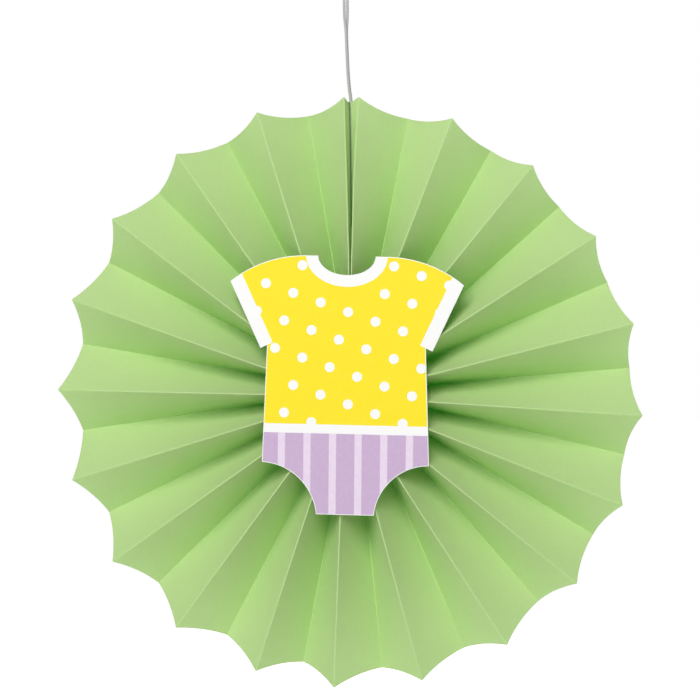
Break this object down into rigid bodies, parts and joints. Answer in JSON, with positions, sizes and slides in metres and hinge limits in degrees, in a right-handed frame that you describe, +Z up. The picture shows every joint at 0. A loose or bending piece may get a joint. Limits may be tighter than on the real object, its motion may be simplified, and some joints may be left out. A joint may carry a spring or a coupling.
{
  "type": "paper fan rosette",
  "caption": "Hanging round paper fan folded like an accordion, with a scalloped rim, a printed baby romper card glued on the front and a doubled cord loop at the top.",
  "frame": {"origin": "centre of the fan: on the axis that its folds run towards, halfway through the depth of the folds there", "axes": "+Z up towards the hanging loop, +X to the right as one faces the fan, +Y to the back, so the romper card faces -Y"},
  "size_m": [0.4062, 0.0403, 0.4975],
  "materials": {
    "lime_paper": "matte",
    "white_card": "matte",
    "yellow_ink": "matte",
    "lilac_ink": "matte",
    "pale_lilac_ink": "matte",
    "grey_cord": "twisted",
    "clear_tape": "satin",
    "white_foam": "matte",
    "lime_card": "matte"
  },
  "bodies": {
    "root": {"pleated_fan": "lime_paper", "romper_card": "white_card", "yellow_print": "yellow_ink", "lilac_print": "lilac_ink", "pale_stripes": "pale_lilac_ink", "hanging_cord": "grey_cord", "seam_tape": "clear_tape", "foam_pad": "white_foam", "backing_disc": "lime_card"}
  },
  "joints": []
}
